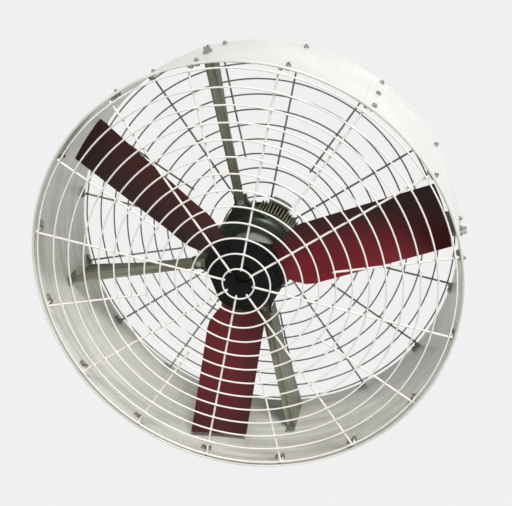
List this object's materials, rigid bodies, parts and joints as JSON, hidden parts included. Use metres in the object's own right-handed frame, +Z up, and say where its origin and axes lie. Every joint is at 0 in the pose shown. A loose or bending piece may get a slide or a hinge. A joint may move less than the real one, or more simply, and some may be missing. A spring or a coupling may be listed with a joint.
{
  "type": "air circulator fan",
  "caption": "Drum air circulator fan: rolled steel drum with welded wire guards at both ends, a finned motor on radial arms and a fan wheel of twisted blades.",
  "frame": {"origin": "on the shaft axis, at the centre of the overall box", "axes": "+Y along the shaft from the air outlet to the air inlet, +Z up along the top arm, +X to the right seen from the outlet"},
  "size_m": [0.9838, 0.298, 0.9838],
  "materials": {
    "white_paint": "gloss white powder coat",
    "guard_paint": "off-white powder coat over welded wire",
    "zinc": "zinc plated, dulled",
    "arm_paint": "semi-gloss grey-green enamel",
    "motor_paint": "dark green enamel on castings",
    "hub_paint": "satin black enamel on a casting",
    "blade_paint": "maroon semi-gloss enamel",
    "black_plastic": "moulded black nylon",
    "seal_rubber": "nitrile rubber",
    "copper": "varnished copper wire",
    "bare_steel": "ground steel"
  },
  "bodies": {
    "stand": {"arm_bottom": "arm_paint", "arm_ear_bolts": "zinc", "arm_ear_nuts": "zinc", "arm_left": "arm_paint", "arm_right": "arm_paint", "arm_top": "arm_paint", "arm_wall_bolts": "zinc", "arm_wall_nuts": "zinc", "cable_gland": "black_plastic", "drum_seam_lap": "white_paint", "drum_shell": "white_paint", "front_bearing_outer_race": "bare_steel", "front_bearing_seals": "seal_rubber", "front_bell_bolts": "zinc", "front_clip_bolts": "zinc", "front_clip_nuts": "zinc", "front_guard": "guard_paint", "front_guard_clips": "zinc", "motor_barrel": "motor_paint", "motor_front_bell": "motor_paint", "motor_rear_bell": "motor_paint", "rear_bearing_outer_race": "bare_steel", "rear_bearing_seals": "seal_rubber", "rear_bell_bolts": "zinc", "rear_clip_bolts": "zinc", "rear_clip_nuts": "zinc", "rear_guard": "guard_paint", "rear_guard_clips": "zinc", "seam_bolt": "zinc", "seam_nut": "zinc", "shaft_seal": "seal_rubber", "stator_core": "bare_steel", "stator_windings": "copper", "terminal_block": "black_plastic", "terminal_box": "motor_paint", "terminal_box_lid": "motor_paint", "terminal_lid_screws": "zinc"},
    "rotor": {"blade_1": "blade_paint", "blade_2": "blade_paint", "blade_3": "blade_paint", "hub_front_half": "hub_paint", "hub_rear_half": "hub_paint", "hub_key": "bare_steel", "hub_screw": "zinc", "hub_washer": "zinc", "blade_bolts": "zinc", "blade_nuts": "zinc", "shaft": "bare_steel", "rotor_core": "bare_steel", "front_bearing_inner_race": "bare_steel", "rear_bearing_inner_race": "bare_steel"}
  },
  "joints": [
    {"name": "rotor_spin", "type": "hinge", "parent": "stand", "child": "rotor", "pos_m": [0, 0, 0], "axis": [0, -1, 0], "continuous": true}
  ]
}
